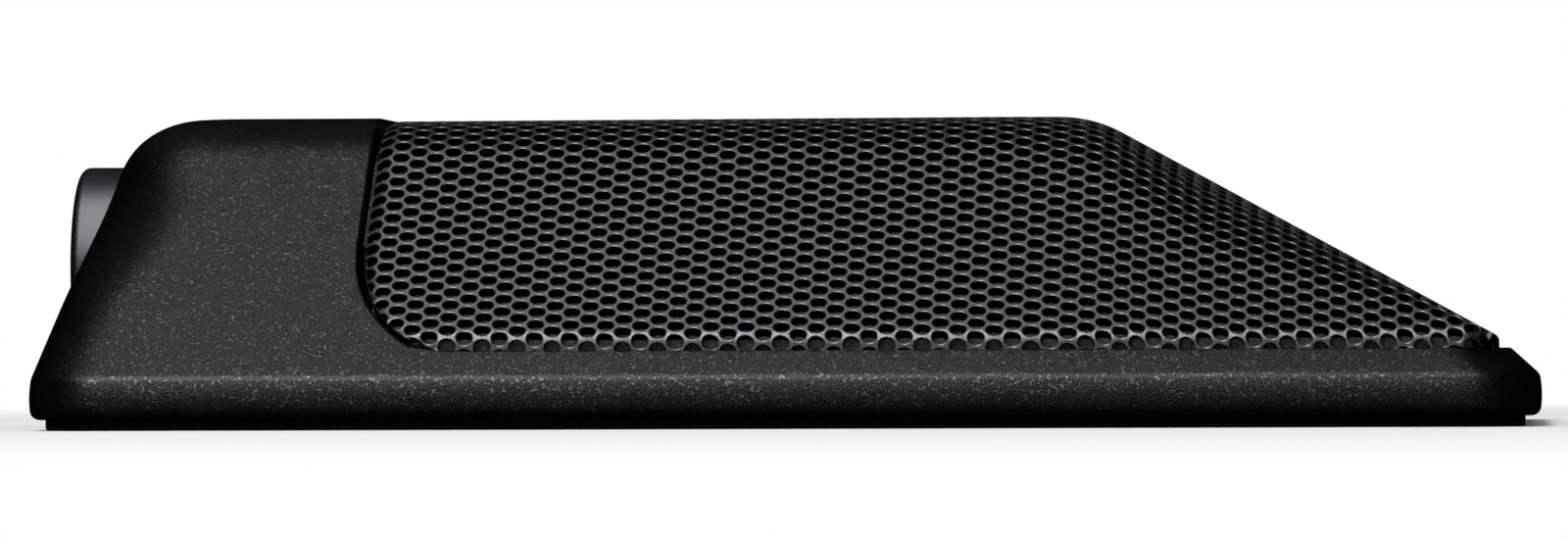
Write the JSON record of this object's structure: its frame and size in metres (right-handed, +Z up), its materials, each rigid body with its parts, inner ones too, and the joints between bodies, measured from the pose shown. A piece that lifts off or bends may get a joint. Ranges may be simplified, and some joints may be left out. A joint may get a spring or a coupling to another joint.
{
  "type": "boundary microphone",
  "caption": "Low wedge-shaped boundary microphone: die-cast housing, formed perforated grille and a round pin connector at the rear.",
  "frame": {"origin": "centre of the bounding box at the underside of the base pad", "axes": "+Z up, +X towards the grille's nose, -X towards the connector"},
  "size_m": [0.148, 0.1006, 0.031],
  "materials": {
    "textured_black_paint": "fine textured powder coat, matt",
    "grille_black": "black coated perforated steel, satin",
    "cloth": "fine black acoustic cloth",
    "rubber": "black rubber",
    "zinc": "zinc plated",
    "black_steel": "blackened steel",
    "plastic": "black moulded plastic",
    "gold": "gold plated",
    "laminate": "green board laminate",
    "brass": "turned brass",
    "sleeve": "capacitor sleeve",
    "capsule_nickel": "nickel plated",
    "insulation": "wire insulation"
  },
  "bodies": {
    "root": {"amplifier_chip": "plastic", "base_pad": "rubber", "base_plate": "zinc", "base_screw_1": "black_steel", "base_screw_2": "black_steel", "base_screw_3": "black_steel", "base_screw_4": "black_steel", "base_screw_5": "black_steel", "base_screw_6": "black_steel", "board_screw_1": "zinc", "board_screw_2": "zinc", "board_screw_3": "zinc", "board_screw_4": "zinc", "capacitor_1": "sleeve", "capacitor_2": "sleeve", "capacitor_3": "sleeve", "capsule_body": "capsule_nickel", "capsule_cap": "black_steel", "capsule_cup": "plastic", "capsule_ring": "rubber", "capsule_wire_1": "insulation", "capsule_wire_2": "insulation", "circuit_board": "laminate", "collar_nut": "zinc", "connector_collar": "textured_black_paint", "connector_insert": "plastic", "grille": "grille_black", "grille_frame": "textured_black_paint", "grille_liner": "cloth", "housing": "textured_black_paint", "output_transformer": "black_steel", "pin_1": "gold", "pin_2": "gold", "pin_3": "gold", "signal_wire_1": "insulation", "signal_wire_2": "insulation", "signal_wire_3": "insulation", "standoff_1": "brass", "standoff_2": "brass", "standoff_3": "brass", "standoff_4": "brass"}
  },
  "joints": []
}
